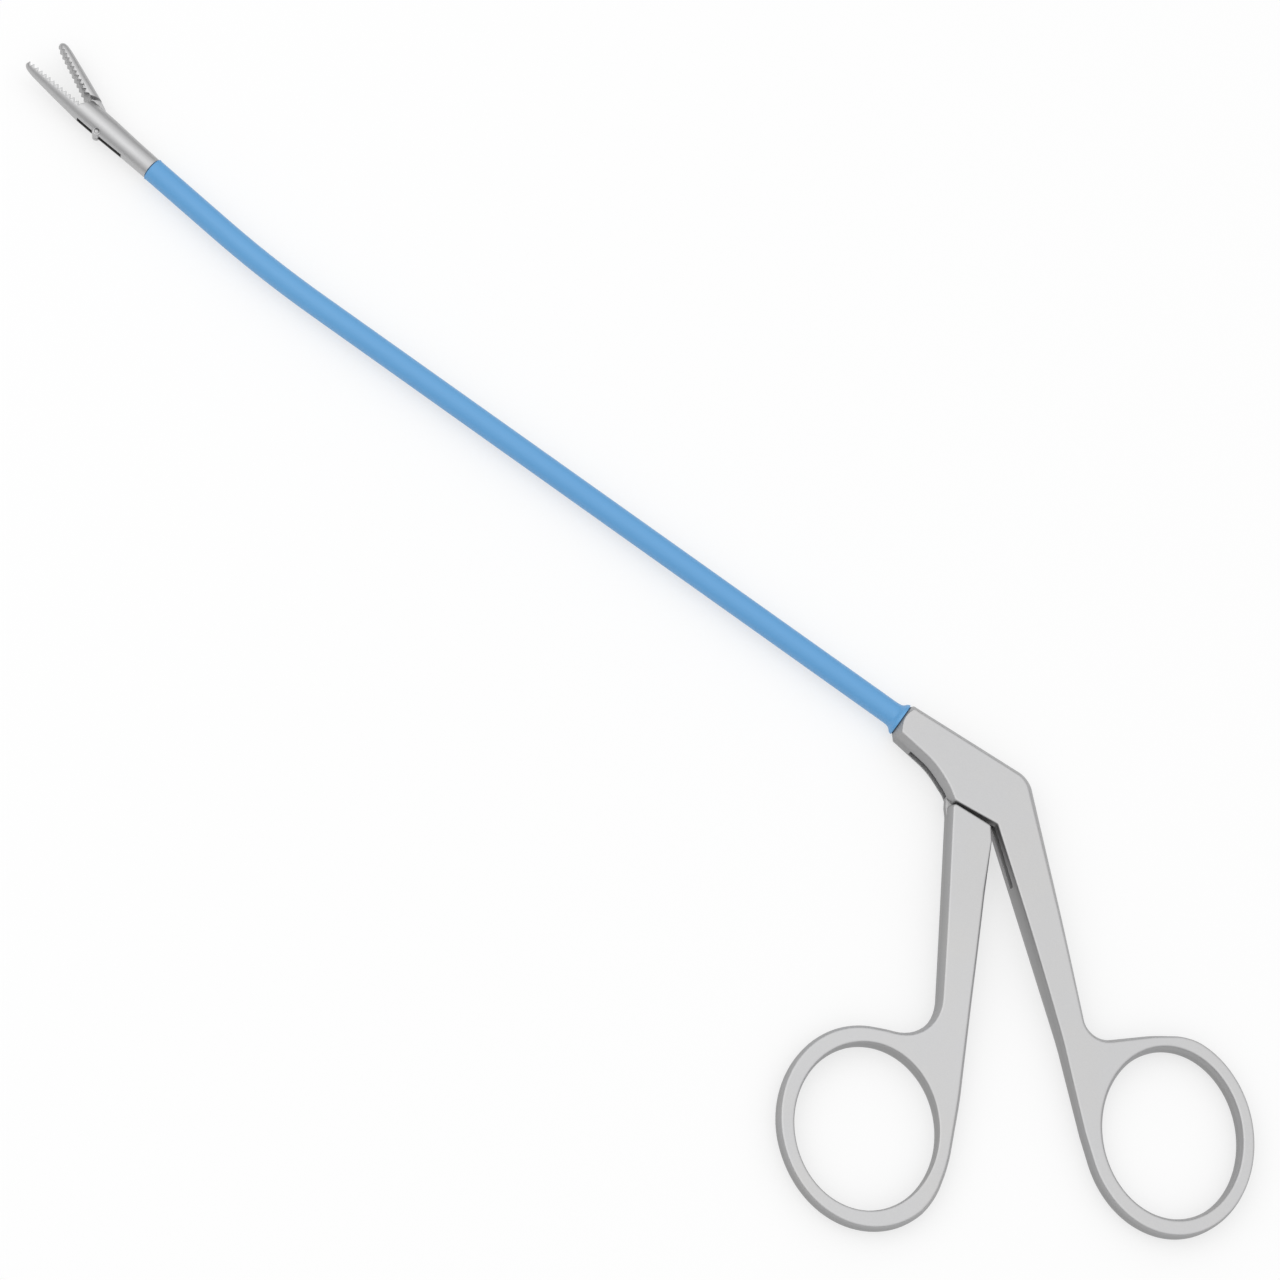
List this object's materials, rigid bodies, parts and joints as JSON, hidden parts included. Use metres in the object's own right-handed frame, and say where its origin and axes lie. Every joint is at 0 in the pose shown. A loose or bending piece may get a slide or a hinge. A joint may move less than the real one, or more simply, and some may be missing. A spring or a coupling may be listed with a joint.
{
  "type": "endoscopic grasping forceps",
  "caption": "Ring-handled endoscopic grasping forceps: insulated shaft bent gently at the tip, one fixed and one moving toothed jaw, push rod driven by the handle.",
  "frame": {"origin": "on the plane of the handles' lower faces, under the centre of the drive pin, which stands on the axis of the straight part of the shaft", "axes": "+X along the straight shaft from the jaws to the handles, +Z square to the handle plates and up as the instrument lies on a table, +Y away from the finger rings, in the handles' plane"},
  "size_m": [0.2485, 0.0799, 0.0055],
  "materials": {
    "satin_steel_rear_handle": "satin, bead blasted",
    "satin_steel_front_handle": "satin, bead blasted",
    "steel_handle_pivot_pin": "ground",
    "steel_drive_pin": "ground",
    "steel_rod_end_eye": "turned",
    "spring_steel_drive_rod": "drawn wire",
    "white_polymer_nose_bush": "moulded",
    "white_polymer_liner": "extruded",
    "steel_shaft_tube": "drawn tube",
    "blue_insulation": "smooth, slight sheen",
    "satin_steel_jaw_sleeve": "satin",
    "satin_steel_upper_jaw": "satin",
    "white_polymer_tip_bush": "moulded",
    "steel_jaw_pivot_pin": "ground",
    "steel_rod_fork": "milled",
    "steel_fork_pin": "ground"
  },
  "bodies": {
    "handle_frame": {"rear_handle": "satin_steel_rear_handle", "handle_pivot_pin": "steel_handle_pivot_pin", "nose_bush": "white_polymer_nose_bush", "liner_tube": "white_polymer_liner", "shaft_tube": "steel_shaft_tube", "insulation_sleeve": "blue_insulation", "jaw_sleeve": "satin_steel_jaw_sleeve", "distal_guide_bush": "white_polymer_tip_bush", "jaw_pivot_pin": "steel_jaw_pivot_pin"},
    "front_lever": {"front_handle": "satin_steel_front_handle"},
    "drive_rod_body": {"drive_rod": "spring_steel_drive_rod", "rod_end_eye": "steel_rod_end_eye", "drive_pin": "steel_drive_pin", "rod_fork": "steel_rod_fork", "fork_pin": "steel_fork_pin"},
    "moving_jaw": {"upper_jaw": "satin_steel_upper_jaw"}
  },
  "joints": [
    {"name": "handle_pivot", "type": "hinge", "parent": "handle_frame", "child": "front_lever", "pos_m": [-0.00031, -0.00278, 0.00275], "axis": [0, 0, 1], "range_deg": [0, 12.82]},
    {"name": "rod_slide", "type": "slide", "parent": "handle_frame", "child": "drive_rod_body", "axis": [-0.9986, 0.0523, 0], "range_m": [0, 0.00062543]},
    {"name": "jaw_pivot", "type": "hinge", "parent": "handle_frame", "child": "moving_jaw", "pos_m": [-0.17026, 0.00185, 0.00275], "axis": [0, 0, 1], "range_deg": [0, 21.2]}
  ],
  "couplings": [
    {"joint": "rod_slide", "follows": "handle_pivot", "m_per_rad": 0.0027941},
    {"joint": "jaw_pivot", "follows": "handle_pivot", "ratio": 1.653}
  ]
}
